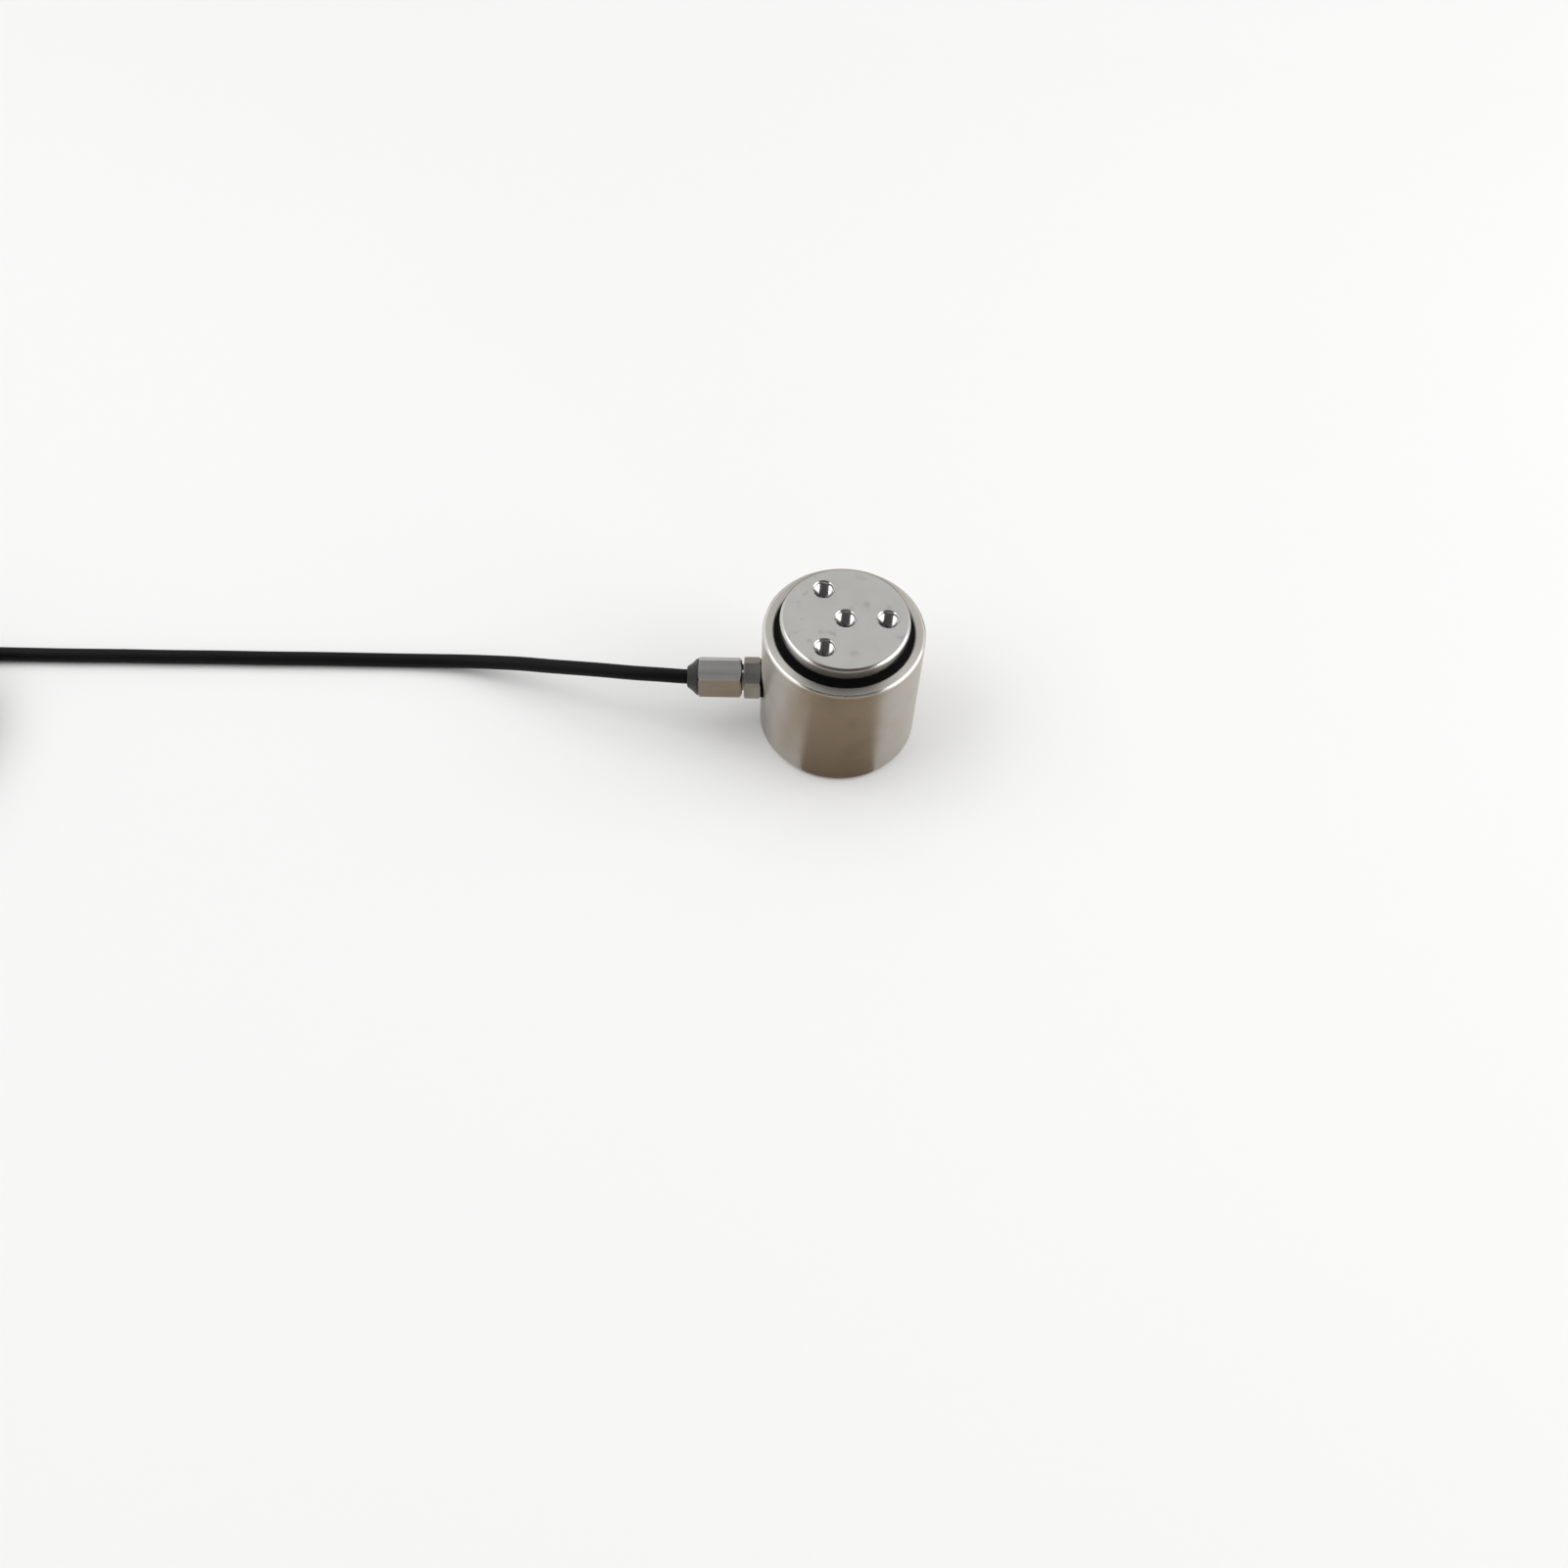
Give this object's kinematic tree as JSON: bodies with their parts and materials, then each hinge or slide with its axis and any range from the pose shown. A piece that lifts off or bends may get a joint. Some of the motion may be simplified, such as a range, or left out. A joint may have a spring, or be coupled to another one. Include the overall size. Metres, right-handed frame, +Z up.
{
  "type": "column load cell",
  "caption": "Round column load cell: a raised loading disc with tapped holes in a turned sleeve, a hexagonal cable gland on its side and a long thin black cable.",
  "frame": {"origin": "centre of the base face, where the load axis meets the surface it stands on", "axes": "+Z up along the load axis, the cable gland on the -X side, one tapped hole of each pattern on +X"},
  "size_m": [0.24, 0.0515, 0.0328],
  "materials": {
    "spring_metal": "matt bead-blasted metal, pale grey",
    "sleeve_metal": "satin turned metal with fine rings",
    "gland_metal": "plated, satin",
    "black_rubber": "soft black rubber",
    "grey_rubber": "dense dark rubber",
    "film": "amber film",
    "foil": "thin etched foil",
    "board": "green laminate",
    "solder": "bright solder",
    "chip": "dark ceramic",
    "screw_steel": "plated steel",
    "enamel_wire": "enamelled wire",
    "red_core": "red core insulation",
    "green_core": "green core insulation",
    "white_core": "white core insulation",
    "black_core": "black core insulation",
    "shield": "tinned twisted wires",
    "nylon": "natural nylon",
    "cable_jacket": "matt black jacket",
    "end_tube": "shrunk black tube"
  },
  "bodies": {
    "root": {"spring_body": "spring_metal", "outer_sleeve": "sleeve_metal", "top_seal": "black_rubber", "backing_ring": "grey_rubber", "base_ring": "grey_rubber", "axial_gauges": "film", "transverse_gauges": "film", "axial_foils": "foil", "transverse_foils": "foil", "terminal_board": "board", "solder_pads": "solder", "trim_resistors": "chip", "board_screws": "screw_steel", "gauge_wires": "enamel_wire", "red_lead": "red_core", "green_lead": "green_core", "white_lead": "white_core", "black_lead": "black_core", "shield_lead": "shield", "gland_gasket": "black_rubber", "gland_body": "gland_metal", "cable_grommet": "black_rubber", "clamp_ring": "nylon", "gland_nut": "gland_metal", "strain_relief": "black_rubber", "cable": "cable_jacket", "cable_coil": "cable_jacket", "coil_ties": "nylon", "end_sleeve": "end_tube", "red_core": "red_core", "green_core": "green_core", "white_core": "white_core", "black_core": "black_core", "shield_core": "shield"}
  },
  "joints": []
}
